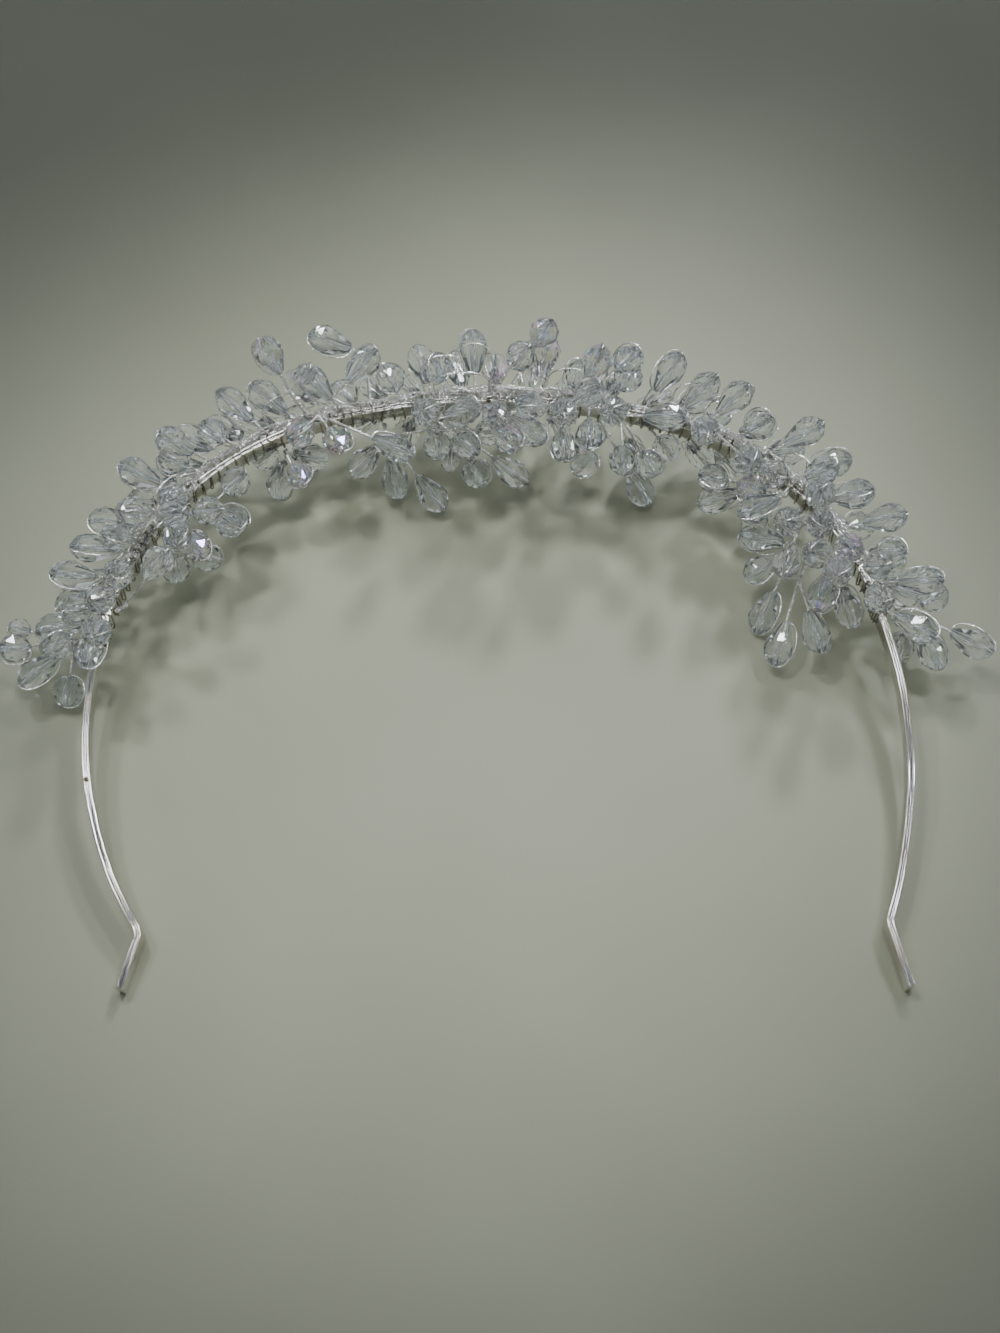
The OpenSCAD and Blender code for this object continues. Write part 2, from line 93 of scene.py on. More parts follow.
# Twigs: share of the way along, fork, beads; places are (along, outward, up) in lengths of an oval bead
twigs = [
    (0.01, (-0.21, 0.7, -0.44), [(-1.1, 1.22, -0.3, oval), (-1.25, 0.62, -0.8, rounded),
        (-0.75, 1.82, -0.18, rounded), (-0.2, 1.95, -0.45, small)]),
    (0.01, (0.0, 0.0, 0.62), [(-0.75, -0.05, 0.8, oval), (-0.55, -0.25, 1.4, oval),
        (-0.7, 0.75, 0.45, rounded)]),
    (0.03, (0.1, -0.35, 0.3), [(0.6, -1.1, 1.75, oval)]),
    (0.12, (-0.05, -0.35, -0.45), [(-0.25, -0.52, -0.9, rounded), (0.3, -1.0, -0.75, rounded)]),
    (0.12, (0.0, -0.1, 0.62), [(0.0, -0.75, 1.6, oval)]),
    (0.15, (0.05, -0.35, 0.35), [(-0.3, -1.0, 0.2, rounded), (0.4, -0.85, 0.6, rounded)]),
    (0.18, (0.0, -0.35, -0.3), [(0.05, -1.15, 0.05, rounded), (0.35, -0.85, -0.6, rounded),
        (0.75, -0.62, 0.3, rounded)]),
    (0.29, (0.0, -0.2, -0.35), [(-0.3, -0.45, -0.95, oval), (0.5, -0.25, -0.85, oval),
        (0.0, -0.95, -0.1, rounded)]),
    (0.32, (-0.25, 0.5, 0.9), [(-0.45, 0.95, 1.85, oval), (0.15, 0.45, 1.55, small)]),
    (0.33, (0.0, 0.0, 0.45), [(0.2, -0.8, 0.6, rounded), (1.4, -0.95, -0.1, oval),
        (1.15, 0.3, 1.55, oval), (-0.55, -0.55, 0.9, rounded)]),
    (0.39, (0.1, 1.12, 0.72), [(-0.62, 1.55, 0.8, oval)]),
    (0.4, (0.0, -0.3, -0.6), [(-0.55, -0.5, -1.2, oval), (0.05, -1.0, -1.35, oval),
        (0.8, -1.5, -1.42, oval), (1.45, -0.05, -1.1, oval)]),
    (0.45, (0.0, -0.35, 0.0), [(0.65, -1.05, -0.05, rounded), (-0.2, -0.8, 1.1, oval),
        (0.6, -0.5, 0.55, oval), (0.0, -0.7, -0.6, rounded)]),
    (0.46, (0.2, -0.3, -0.6), [(0.05, -0.75, -1.3, small), (0.6, -1.05, -1.4, rounded),
        (1.4, -1.05, -1.42, oval), (1.0, -0.1, -1.2, rounded)]),
    (0.49, (0.2, -0.15, 0.55), [(1.0, 0.2, 1.65, rounded)]),
    (0.5, (0.2, -0.35, 0.35), [(0.9, -0.75, 0.1, oval)]),
    (0.51, (0.0, -0.35, 0.0), [(0.45, -1.1, 0.4, oval), (0.2, -1.0, 1.2, oval)]),
    (0.53, (0.4, 0.6, 0.7), [(0.8, 1.05, 1.3, rounded)]),
    (0.58, (0.1, -0.4, -0.1), [(0.2, -1.05, 0.15, oval)]),
    (0.59, (0.0, -0.25, 0.42), [(-0.05, -1.0, 1.55, oval), (0.4, -0.25, 1.1, oval),
        (1.2, 0.5, 1.45, rounded), (-0.75, -0.9, 1.45, oval)]),
    (0.61, (0.0, -0.25, 0.42), [(0.1, -1.1, 0.85, oval)]),
    (0.63, (0.25, -0.25, -0.6), [(1.1, -1.0, -1.42, oval), (-0.2, -0.9, -0.85, rounded)]),
    (0.65, (0.0, -0.25, 0.42), [(-0.1, -0.65, 1.25, oval), (0.25, -1.1, -0.05, rounded),
        (1.0, -0.35, 0.9, oval), (0.8, -0.8, -0.55, rounded)]),
    (0.72, (0.0, 0.0, 0.45), [(0.35, -0.55, 1.3, oval)]),
    (0.8, (0.25, -0.2, -0.42), [(-0.4, -0.8, -0.85, oval), (0.5, -0.6, -1.05, oval),
        (-0.62, -0.85, -0.05, rounded)]),
    (0.84, (0.1, -0.4, 0.4), [(-0.1, -1.05, 0.45, oval), (-0.6, -0.65, 0.1, rounded)]),
    (0.86, (0.45, -0.75, -0.35), [(-0.15, -1.15, -0.45, oval), (0.3, -1.64, -0.72, rounded),
        (1.05, -2.1, -1.05, oval)]),
    (0.88, (0.0, -0.3, -0.35), [(0.55, -1.3, 0.1, oval), (0.15, -1.05, 1.0, oval)]),
    (0.89, (0.0, -0.25, 0.42), [(0.15, -0.55, 2.0, oval)]),
    (0.9, (0.55, -1.15, -0.4), [(1.42, -2.3, -0.78, oval), (1.74, -1.64, -0.36, oval)]),
    (0.93, (0.1, -0.4, 0.1), [(0.05, -0.85, 0.72, oval), (0.98, -0.44, -0.66, oval),
        (0.62, -1.0, 0.1, oval)]),
    (0.93, (0.1, -0.35, 0.3), [(0.8, -1.0, 1.55, oval)]),
    (0.99, (0.35, 0.7, -0.05), [(1.35, 1.75, -0.2, oval), (1.15, 0.95, -0.5, oval),
        (0.75, 0.45, -0.9, rounded), (0.15, 1.32, -0.12, rounded), (0.2, 0.65, -0.6, small)]),
    (0.99, (0.0, -0.25, 0.42), [(1.0, 0.4, 0.8, oval)]),
]


def unit(v):
    # v divided by its length
    return v / np.linalg.norm(v, axis=-1, keepdims=True)


def walk(arcs, run):
    # Follows arcs of given radius and sweep for a distance, then goes on straight: x, y and heading
    x, y, heading = (np.zeros_like(run) for _ in range(3))
    left = run.copy()
    for radius, sweep in arcs:
        step = np.clip(left, 0, radius * math.radians(abs(sweep)))
        bend = math.copysign(radius, sweep)
        turned = heading + step / bend
        x = x + bend * (np.sin(turned) - np.sin(heading))
        y = y + bend * (np.cos(turned) - np.cos(heading))
        heading, left = turned, left - step
    return x + left * np.cos(heading), y - left * np.sin(heading), heading


def place(run):
    # The band's middle line: the right half for positive runs, the mirrored left half for negative ones
    run = np.asarray(run, float)
    right = walk(bandShape["rightArcs"], np.maximum(run, 0))
    left = walk(bandShape["leftArcs"], np.maximum(-run, 0))
    return [np.where(run < 0, s * b, a) for a, b, s in zip(right, left, (-1, 1, -1))]


def axes(run):
    # Directions along the band and outward from it
    heading = place(run)[2]
    zero = np.zeros_like(heading)
    return (np.stack([np.cos(heading), -np.sin(heading), zero], -1),
            np.stack([np.sin(heading), np.cos(heading), zero], -1))


def fromBand(run, offset):
    # A point given as (along, outward, up) from the band's middle line
    x, y, _ = place(run)
    along, out = axes(run)
    offset = np.asarray(offset, float)
    return (np.stack([x, y, np.zeros_like(x)], -1) + along * offset[..., 0:1]
            + out * offset[..., 1:2] + up * offset[..., 2:3])


def roundBand(run, angle, far):
    # Points at an angle round the band and a distance from its middle line: far (cos . out + sin . up)
    return fromBand(run, np.stack([0 * run, np.cos(angle) * far, np.sin(angle) * far], -1))


def boxShare(out, high, half):
    # How often the direction (out, high) spans a rectangle of half sizes: the larger of out / half and
    # high / half, so that the direction divided by it ends on the rectangle
    return np.maximum(np.abs(out) / half[0], np.abs(high) / half[1])


def arcsLength(arcs):
    # The sum of radius times angle
    return sum(radius * math.radians(abs(sweep)) for radius, sweep in arcs)


leftEnd = -(arcsLength(bandShape["leftArcs"]) + bandShape["leftFoot"])
rightEnd = arcsLength(bandShape["rightArcs"]) + bandShape["rightFoot"]
feet = place(np.array([leftEnd, rightEnd]))
tilt = math.asin(bandShape["crownLift"] / -feet[1].min())


def tilted(points):
    # The whole leans about X so that the crown lies higher than the feet
    x, y, z = np.moveaxis(np.asarray(points, float), -1, 0)
    return np.stack([x, y * math.cos(tilt) - z * math.sin(tilt), y * math.sin(tilt) + z * math.cos(tilt)], -1)


edgeRuns = np.linspace(leftEnd, rightEnd, 4001)
edges = np.concatenate([tilted(fromBand(edgeRuns, np.tile([0, o * bandHalf[0], u * bandHalf[1]],
                                                          (len(edgeRuns), 1))))
                        for o in (-1, 1) for u in (-1, 1)])
bandBox = np.array(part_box("band")) / mm
shift = (bandBox.sum(0) - edges.min(0) - edges.max(0)) / 2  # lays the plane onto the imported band


def laid(points):
    # From the band's own plane to the table: tilted, moved and turned to metres
    return (tilted(points) + shift) * mm


# The beads as arrays: number of their station, kind, middle, direction of the hole, start of the stalk
def wreathLayout():
    w = wreathShape
    knot = wireShape["knot"] * wireShape["stalk"]
    knotHalf = bandHalf + wireShape["gap"] + math.hypot(knot, wireShape["stalk"]) / 2
    spacing = girths.max() + w["room"]
    run = w["leftRun"] + w["rightRun"]
    count = int(run * math.radians(w["angle"]) * spans[oval] / spacing ** 2)
    k = np.arange(count)
    t = (k + 0.5) / count
    station = -w["leftRun"] + run * t

    def root(out, high):
        # On the knots' rectangle round the band, in the direction (out, high)
        reach = boxShare(out, high, knotHalf)
        return np.stack([np.zeros_like(reach), out / reach, high / reach], -1)

    row = k % 2
    turn = ((k // 2) * golden + row * w["rowTurn"]) % 1
    low, high, bare = (np.interp(t, fullness[:, 0], fullness[:, c]) for c in (1, 2, 3))
    angle = np.radians(low + turn * (high - low))
    kind = np.where(k % 4 == 2, rounded, oval)
    radial = np.stack([np.zeros(count), np.cos(angle), np.sin(angle)], -1)
    start = root(radial[:, 1], radial[:, 2])
    reach = spans[kind] / 2 + wireShape["end"]
    tall = (bare + row * w["rowStep"]) * spans[oval] + 2 * reach
    lean = np.radians(np.where(row, w["leans"][1], w["leans"][0]) * np.clip(station / w["leanRun"], -1, 1)
                      + w["leanSway"] * np.sin(np.radians(k * w["leanStep"])))
    aim = radial * np.cos(lean)[:, None] + np.stack([np.sin(lean), 0 * lean, 0 * lean], -1)
    away = tall / np.cos(lean) - reach  # a leaning bead's stalk is longer, so its tip reaches as far
    zero = fromBand(station, np.zeros((count, 3)))
    wreath = dict(k=k, kind=kind, middle=fromBand(station, start + aim * away[:, None]),
                  axis=fromBand(station, aim) - zero, start=fromBand(station, start))

    near = [min(count - 1, math.floor(share * count)) for share, _, _ in twigs]
    outerOnes = [n for n, twig in zip(near, twigs) if twig[1][1] > 0]
    keep = ~np.isin(k, outerOnes)
    beads = {key: value[keep] for key, value in wreath.items()}
    stems = []
    for n, (_, fork, ends) in zip(near, twigs):
        s = np.full(len(ends), station[n])
        forkAt = fromBand(s, np.tile(np.array(fork) * spans[oval], (len(ends), 1)))
        middle = fromBand(s, np.array([e[:3] for e in ends]) * spans[oval])
        new = dict(k=np.full(len(ends), n), kind=np.array([e[3] for e in ends]), middle=middle,
                   axis=unit(middle - forkAt), start=forkAt)
        beads = {key: np.concatenate([beads[key], new[key]]) for key in beads}
        stems.append((n, fromBand(station[n], root(np.array(fork[1]), np.array(fork[2]))), forkAt[0]))
    beads["field"] = (beads["k"] + 0.5) * w["fields"] // count
    beads["twig"] = np.arange(len(beads["k"])) >= keep.sum()
    return station, beads, stems, (t * w["fields"]).astype(int)


stations, beads, stems, stationField = wreathLayout()
print("laid out", len(stations), "binding turns,", len(beads["k"]), "beads and", len(stems), "twigs")


# Meshes
def addMesh(name, points, polygons, smooth=True, slots=None):
    # points in the band's plane; polygons a list of whole arrays, one row of corners for each face
    mesh = bpy.data.meshes.new(name)
    placed = laid(points)
    placed[:, 2] = np.maximum(placed[:, 2], 0)  # nothing sinks into the table
    mesh.from_pydata(placed.tolist(), [], [row for array in polygons for row in array.tolist()])
    mesh.polygons.foreach_set("use_smooth", np.full(len(mesh.polygons), smooth))
    if slots is not None:
        mesh.polygons.foreach_set("material_index", slots.astype(np.int32))
    mesh.update()
    piece = bpy.data.objects.new(name, mesh)
    bpy.context.scene.collection.objects.link(piece)
    return piece


def gridFaces(rows, columns, wrapRows=False, wrapColumns=True):
    # Four-cornered faces between neighbouring rows and columns of a grid of points
    i = np.arange(rows if wrapRows else rows - 1)
    j = np.arange(columns if wrapColumns else columns - 1)
    i, j = np.meshgrid(i, j, indexing="ij")
    a, b = i * columns + j, i * columns + (j + 1) % columns
    c, d = ((i + 1) % rows) * columns + (j + 1) % columns, ((i + 1) % rows) * columns + j
    return np.stack([a, b, c, d], -1).reshape(-1, 4)


def tubes(paths, reference, radius, sides, closed=False):
    # A circle carried along each of many equally long paths: point + r (cos p . a + sin p . b), where
    # a is the reference made square to the path's direction and b is square to both
    paths = np.asarray(paths, float)
    count, steps, _ = paths.shape
    if closed:
        ahead = np.roll(paths, -1, 1) - np.roll(paths, 1, 1)
    else:
        ahead = np.gradient(paths, axis=1)
    ahead = unit(ahead)
    reference = np.broadcast_to(reference, paths.shape) if np.ndim(reference) != 2 else reference[:, None, :]
    a = unit(reference - ahead * (reference * ahead).sum(-1, keepdims=True))
    b = np.cross(ahead, a)
    phi = np.arange(sides) * 2 * math.pi / sides
    radius = np.broadcast_to(radius, (count, steps))[..., None, None]
    rings = (paths[:, :, None, :] + radius * (np.cos(phi)[:, None] * a[:, :, None, :]
                                              + np.sin(phi)[:, None] * b[:, :, None, :]))
    quads = gridFaces(steps, sides, wrapRows=closed)
    starts = np.arange(count)[:, None, None] * steps * sides
    polygons = [(quads[None] + starts).reshape(-1, 4)]
    if not closed:
        cap = np.arange(sides)
        polygons.append(cap[::-1][None] + starts[:, 0])
        polygons.append(cap[None] + (steps - 1) * sides + starts[:, 0])
    return rings.reshape(-1, 3), polygons


def joined(parts):
    # Many (points, polygons) made one, with the corners renumbered
    points, polygons, offset = [], [], 0
    for p, faces in parts:
        points.append(p)
        polygons += [f + offset for f in faces]
        offset += len(p)
    return np.concatenate(points), polygons


def finishPiece(piece, materials, slotName, *nodes):
    # Materials, the body that carries the piece, and the plain nodes it stands for
    for material in materials:
        piece.data.materials.append(material)
    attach(piece, "root")
    if nodes:
        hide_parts(*nodes)
    return piece


# Materials
def toLinear(hexColour):
    # sRGB hex to linear red, green, blue and a full alpha
    c = np.array([int(hexColour[i:i + 2], 16) for i in (1, 3, 5)]) / 255
    return tuple(np.where(c <= 0.04045, c / 12.92, ((c + 0.055) / 1.055) ** 2.4)) + (1.0,)


def addNode(tree, kind, inputs=(), **settings):
    # A node with its settings; an input is given a value or linked from a socket
    made = tree.nodes.new(kind)
    for key, value in settings.items():
        setattr(made, key, value)
    for key, value in dict(inputs).items():
        if isinstance(value, bpy.types.NodeSocket):
            tree.links.new(value, made.inputs[key])
        else:
            made.inputs[key].default_value = value
    return made


def newMaterial(name):
    # A material with nothing but its output node
    material = bpy.data.materials.new(name)
    material.use_nodes = True
    tree = material.node_tree
    tree.nodes.clear()
    output = addNode(tree, "ShaderNodeOutputMaterial")
    return material, tree, output


def ramp(tree, factor, stops):
    # A colour ramp with its stops given as (place, sRGB hex)
    made = addNode(tree, "ShaderNodeValToRGB", {"Fac": factor})
    while len(made.color_ramp.elements) < len(stops):
        made.color_ramp.elements.new(0.5)
    for element, (at, colour) in zip(made.color_ramp.elements, stops):
        element.position, element.color = at, toLinear(colour)
    return made


def perMetre(size):
    return 1 / (size * mm)  # pattern scale for a feature of that many millimetres


# Silver plate over steel, rolled and polished: warm white metal that mirrors softly, with fine draw
# lines along the strip and brown tarnish in clouds and nicks
def silverPlate():
    look = {"bright": "#e6e5e1", "dull": "#c4bfb5", "tarnish": "#4f4537", "roughness": 0.05}
    material, tree, output = newMaterial("silverPlate")
    where = addNode(tree, "ShaderNodeTexCoord")
    clouds = addNode(tree, "ShaderNodeTexNoise", {"Vector": where.outputs["Object"], "Scale": perMetre(9),
                                                  "Detail": 5.0, "Roughness": 0.6})
    nicks = addNode(tree, "ShaderNodeTexVoronoi", {"Vector": where.outputs["Object"], "Scale": perMetre(4.5)})
    nickEdge = addNode(tree, "ShaderNodeTexNoise", {"Vector": where.outputs["Object"],
                                                    "Scale": perMetre(0.5)})
    nickSize = addNode(tree, "ShaderNodeMath", {0: nicks.outputs["Distance"], 1: nickEdge.outputs["Fac"]},
                       operation="MULTIPLY")
    nick = addNode(tree, "ShaderNodeMapRange", {"Value": nickSize.outputs[0], "From Min": 0.04,
                                                "From Max": 0.065, "To Min": 1.0, "To Max": 0.0})
    body = ramp(tree, clouds.outputs["Fac"], [(0.38, look["dull"]), (0.58, look["bright"])])
    # A Mix node's colours are its seventh and eighth inputs and its third output
    mix = addNode(tree, "ShaderNodeMix", {0: nick.outputs[0], 6: body.outputs["Color"],
                                          7: toLinear(look["tarnish"])}, data_type="RGBA")
    strip = addNode(tree, "ShaderNodeUVMap", uv_map="strip")
    stretch = addNode(tree, "ShaderNodeMapping", {"Vector": strip.outputs["UV"], "Scale": (1.5, 60.0, 1.0)})
    lines = addNode(tree, "ShaderNodeTexNoise", {"Vector": stretch.outputs[0], "Scale": 1.0, "Detail": 3.0})
    rough = addNode(tree, "ShaderNodeMapRange", {"Value": clouds.outputs["Fac"], "From Min": 0.35,
                                                 "From Max": 0.65, "To Min": look["roughness"] + 0.07,
                                                 "To Max": look["roughness"]})
    bump = addNode(tree, "ShaderNodeBump", {"Height": lines.outputs["Fac"], "Strength": 0.12,
                                            "Distance": 0.006 * mm})
    shader = addNode(tree, "ShaderNodeBsdfPrincipled", {"Base Color": mix.outputs[2], "Metallic": 1.0,
                                                        "Roughness": rough.outputs[0],
                                                        "Normal": bump.outputs[0]})
    tree.links.new(shader.outputs[0], output.inputs["Surface"])
    return material


# Silver-plated craft wire, drawn: bright on its crests and grey where it has dulled; the binding
# turns are the same wire made darker and browner, partly tarnish and partly painted shade for their contact
# shadow on the strip
def craftWire(name, look):
    material, tree, output = newMaterial(name)
    where = addNode(tree, "ShaderNodeTexCoord")
    dulling = addNode(tree, "ShaderNodeTexNoise", {"Vector": where.outputs["Object"], "Scale": perMetre(6),
                                                   "Detail": 4.0, "Roughness": 0.65})
    grain = addNode(tree, "ShaderNodeTexNoise", {"Vector": where.outputs["Object"], "Scale": perMetre(0.25)})
    colour = ramp(tree, dulling.outputs["Fac"], [(0.36, look["grey"]), (0.56, look["bright"])])
    rough = addNode(tree, "ShaderNodeMapRange", {"Value": dulling.outputs["Fac"], "From Min": 0.35,
                                                 "From Max": 0.6, "To Min": look["roughness"] + 0.1,
                                                 "To Max": look["roughness"]})
    bump = addNode(tree, "ShaderNodeBump", {"Height": grain.outputs["Fac"], "Strength": 0.15,
                                            "Distance": 0.02 * mm})
    shader = addNode(tree, "ShaderNodeBsdfPrincipled", {"Base Color": colour.outputs["Color"],
                                                        "Metallic": 1.0, "Roughness": rough.outputs[0],
                                                        "Normal": bump.outputs[0]})
    tree.links.new(shader.outputs[0], output.inputs["Surface"])
    return material


# Fire-polished crystal, cut and then melted a little: clear with soft facet edges and faint haze;
# a metal-oxide coat gives some beads a thin violet and blue flash
def crystal(name, look):
    material, tree, output = newMaterial(name)
    where = addNode(tree, "ShaderNodeTexCoord")
    haze = addNode(tree, "ShaderNodeTexNoise", {"Vector": where.outputs["Object"], "Scale": perMetre(2.2),
                                                "Detail": 3.0})
    colour = ramp(tree, haze.outputs["Fac"], [(0.35, look["tint"]), (0.5, look["clear"])])
    rough = addNode(tree, "ShaderNodeMapRange", {"Value": haze.outputs["Fac"], "From Min": 0.35,
                                                 "From Max": 0.65, "To Min": look["roughness"] * 2,
                                                 "To Max": look["roughness"]})
    polish = addNode(tree, "ShaderNodeTexNoise", {"Vector": where.outputs["Object"], "Scale": perMetre(0.9)})
    bump = addNode(tree, "ShaderNodeBump", {"Height": polish.outputs["Fac"], "Strength": 0.06,
                                            "Distance": 0.03 * mm})
    shader = addNode(tree, "ShaderNodeBsdfPrincipled",
                     {"Base Color": colour.outputs["Color"], "Roughness": rough.outputs[0],
                      "IOR": 1.54, "Transmission Weight": look["clarity"], "Normal": bump.outputs[0],
                      "Thin Film Thickness": look["film"], "Thin Film IOR": 1.9})
    tree.links.new(shader.outputs[0], output.inputs["Surface"])
    return material


plate = silverPlate()
silverWire = craftWire("silverWire", {"bright": "#f0efec", "grey": "#b9b6b0", "roughness": 0.2})
# The binding turns' wire: browner for tarnish, and darker still as painted shade where the turns hug the
# strip
tarnishAndShadeWire = craftWire("tarnishAndShadeWire", {"bright": "#aea799", "grey": "#7a7365", "roughness": 0.14})
clearCrystal = crystal("clearCrystal", {"tint": "#edf4f8", "clear": "#fcfeff", "roughness": 0.015,
                                        "clarity": 0.96, "film": 0.0})
auroraCrystal = crystal("auroraCrystal", {"tint": "#eaf2f8", "clear": "#fafdff", "roughness": 0.015,
                                          "clarity": 0.96, "film": 300.0})
print("materials made")


# Band: a flat strip whose folded edges leave two round lips with a groove between them
def stripProfile():
    # Outline (outward, up) of the section, anticlockwise: straight faces, round lips, rounded groove
    t, w = bandHalf
    g, deep = bandShape["groove"] / 2, bandShape["grooveDepth"]
    middle, r, floor = (t + g) / 2, (t - g) / 2, g * bandShape["grooveFloor"]
    a = np.linspace(0, math.pi, bandShape["lipSteps"])
    top = np.concatenate([np.stack([middle + r * np.cos(a), w - r + r * np.sin(a)], -1),
                          np.array([[floor, w - deep], [-floor, w - deep]]),
                          np.stack([-middle + r * np.cos(a), w - r + r * np.sin(a)], -1)])
    side = np.linspace(w - r, r - w, bandShape["lipSteps"])[1:-1]
    left = np.stack([np.full(len(side), -t), side], -1)
    return np.concatenate([top, left, -top, -left])


def makeBand():
    # The section carried along the middle line, drawn in a little at both ends, and wavering outward
    # by two sine waves that grow towards the feet
    band, profile = bandShape, stripProfile()
    runs = np.arange(leftEnd, rightEnd, band["step"])
    runs = np.concatenate([[leftEnd, leftEnd + band["endRound"]], runs[1:],
                           [rightEnd - band["endRound"], rightEnd]])
    ease = np.clip(np.minimum(runs - leftEnd, rightEnd - runs) / band["endRound"], 0, 1)
    ease = ease * (1 - band["endShare"]) + band["endShare"]
    grown = (np.abs(runs) - band["waverFrom"]) / (band["waverFull"] - band["waverFrom"])
    waves = sum(share * np.sin(runs / span + phase) for span, share, phase in band["waves"])
    waver = band["waver"] * waves * np.clip(grown, 0, 1)
    offset = np.zeros((len(runs), len(profile), 3))
    offset[..., 1] = profile[None, :, 0] * ease[:, None] + waver[:, None]
    offset[..., 2] = profile[None, :, 1] * ease[:, None]
    points = fromBand(np.repeat(runs, len(profile)), offset.reshape(-1, 3))
    rows, columns = len(runs), len(profile)
    cap = np.arange(columns)
    polygons = [gridFaces(rows, columns)[:, ::-1], cap[None], cap[::-1][None] + (rows - 1) * columns]
    piece = addMesh("bandStrip", points, polygons)
    length = np.concatenate([[0], np.cumsum(np.hypot(*np.diff(np.vstack([profile, profile[:1]]), axis=0).T))])
    around = np.array([v.vertex_index for v in piece.data.loops])
    uv = piece.data.uv_layers.new(name="strip")
    uv.data.foreach_set("uv", np.stack([runs[around // columns], length[around % columns]], -1).ravel())
    return finishPiece(piece, [plate], "silver_band", "band")


makeBand()
print("band made")


# Beads: rings of corners as (height, radius, turn), heights in shares of the length from the stalk's
# end, radii in shares of the width and turns in shares of a facet; radius 0 is the hole's own
cuts = {
    oval: (9, [(-0.50, 0, 0), (-0.455, 0.20, 0), (-0.02, 0.47, 0), (0.18, 0.495, 0.5), (0.36, 0.37, 0),
               (0.465, 0.20, 0.5), (0.50, 0, 0.5)]),
    rounded: (9, [(-0.50, 0, 0), (-0.455, 0.22, 0), (-0.26, 0.42, 0.5), (0.0, 0.5, 0), (0.26, 0.42, 0.5),
                  (0.455, 0.22, 0), (0.50, 0, 0)]),
    small: (8, [(-0.50, 0, 0), (-0.44, 0.24, 0), (-0.2, 0.46, 0.5), (0.2, 0.46, 0), (0.44, 0.24, 0.5),
                (0.50, 0, 0.5)]),
}


def cutFaces(rings, sides):
    # Rings of the same turn are joined by flat four-sided facets and others by pairs of triangles
    quads, triangles, count = [], [], len(rings)
    j = np.arange(sides)
    for i in range(count):
        low, high = i * sides, (i + 1) % count * sides
        a, b, c, d = low + j, low + (j + 1) % sides, high + (j + 1) % sides, high + j
        turned = (rings[(i + 1) % count][2] - rings[i][2]) % 1
        if turned == 0:
            quads.append(np.stack([a, b, c, d], -1))
        elif rings[i][2] == 0:
            triangles += [np.stack([a, b, d], -1), np.stack([b, c, d], -1)]
        else:
            triangles += [np.stack([a, c, d], -1), np.stack([a, b, c], -1)]
    return [np.concatenate(f) for f in (quads, triangles) if f]


def makeBeads(field):
    # Each cut turned so that +Z lies along its hole: x . a + y . b + z . axis round the bead's middle
    chance = np.random.default_rng(seeds["beads"] + field)
    parts, slots = [], []
    for kind, (sides, rings) in cuts.items():
        mine = np.flatnonzero((beads["field"] == field) & (beads["kind"] == kind))
        if not len(mine):
            continue
        table = np.array(rings)
        phi = 2 * math.pi / sides * (np.arange(sides)[None] + table[:, 2:3])
        radius = np.where(table[:, 1:2] == 0, beadHole / 2, table[:, 1:2] * girths[kind])
        local = np.stack([radius * np.cos(phi), radius * np.sin(phi),
                          np.broadcast_to(table[:, 0:1] * spans[kind], phi.shape)], -1).reshape(-1, 3)
        axis = beads["axis"][mine]
        roll = chance.uniform(0, 2 * math.pi, len(mine))[:, None]
        a0 = unit(np.cross(axis, aslant))
        b0 = np.cross(axis, a0)
        a, b = np.cos(roll) * a0 + np.sin(roll) * b0, np.cos(roll) * b0 - np.sin(roll) * a0
        points = (beads["middle"][mine][:, None] + local[None, :, 0:1] * a[:, None]
                  + local[None, :, 1:2] * b[:, None] + local[None, :, 2:3] * axis[:, None]).reshape(-1, 3)
        starts = np.arange(len(mine))[:, None, None] * len(local)
        faces = cutFaces(rings, sides)
        parts.append((points, [(f[None] + starts).reshape(-1, f.shape[1]) for f in faces]))
        coated = chance.random(len(mine)) < coatedShare
        slots += [np.repeat(coated, len(f)) for f in faces]
    points, polygons = joined(parts)
    piece = addMesh(f"crystals_{field + 1:02d}", points, polygons, smooth=False, slots=np.concatenate(slots))
    return finishPiece(piece, [clearCrystal, auroraCrystal], "crystal", f"beads_{field + 1:02d}")


for field in range(wreathShape["fields"]):
    makeBeads(field)
print("beads made")


# Wires
stalkSteps = [(0, 2.5, 12), (2.5, 6, 30), (6, 99, 76)]  # shortest, longest stalk, rings of its wires


def travelled(paths):
    # Distance along each path from its start: the running sum of its steps' lengths
    lengths = np.linalg.norm(np.diff(paths, axis=1), axis=-1)
    return np.concatenate([np.zeros((len(paths), 1)), np.cumsum(lengths, 1)], 1)


def twisted(centre, ahead, side, distance, radius, phase):
    # Turns round a centre line: centre + r (cos q . a + sin q . b), q growing by one turn each pitch
    a = unit(np.cross(ahead, side))
    b = np.cross(unit(ahead), a)
    q = (2 * math.pi * distance / wireShape["pitch"] + phase)[..., None]
    return centre + radius[..., None] * (np.cos(q) * a + np.sin(q) * b)


loopShape = {
    "scatter": 0.45,                 # how far the loops' planes are off level
    "spread": 1.15, "least": 0.2,    # how wide a pair twists at the binding and at the bead
    "aside": 0.6, "beyond": 0.55,    # the loop's distance from the bead, in strands
    "fullness": 0.75, "steps": 15,
    "closing": 6, "holeSteps": 5,    # how late the pair closes up to the bead
}


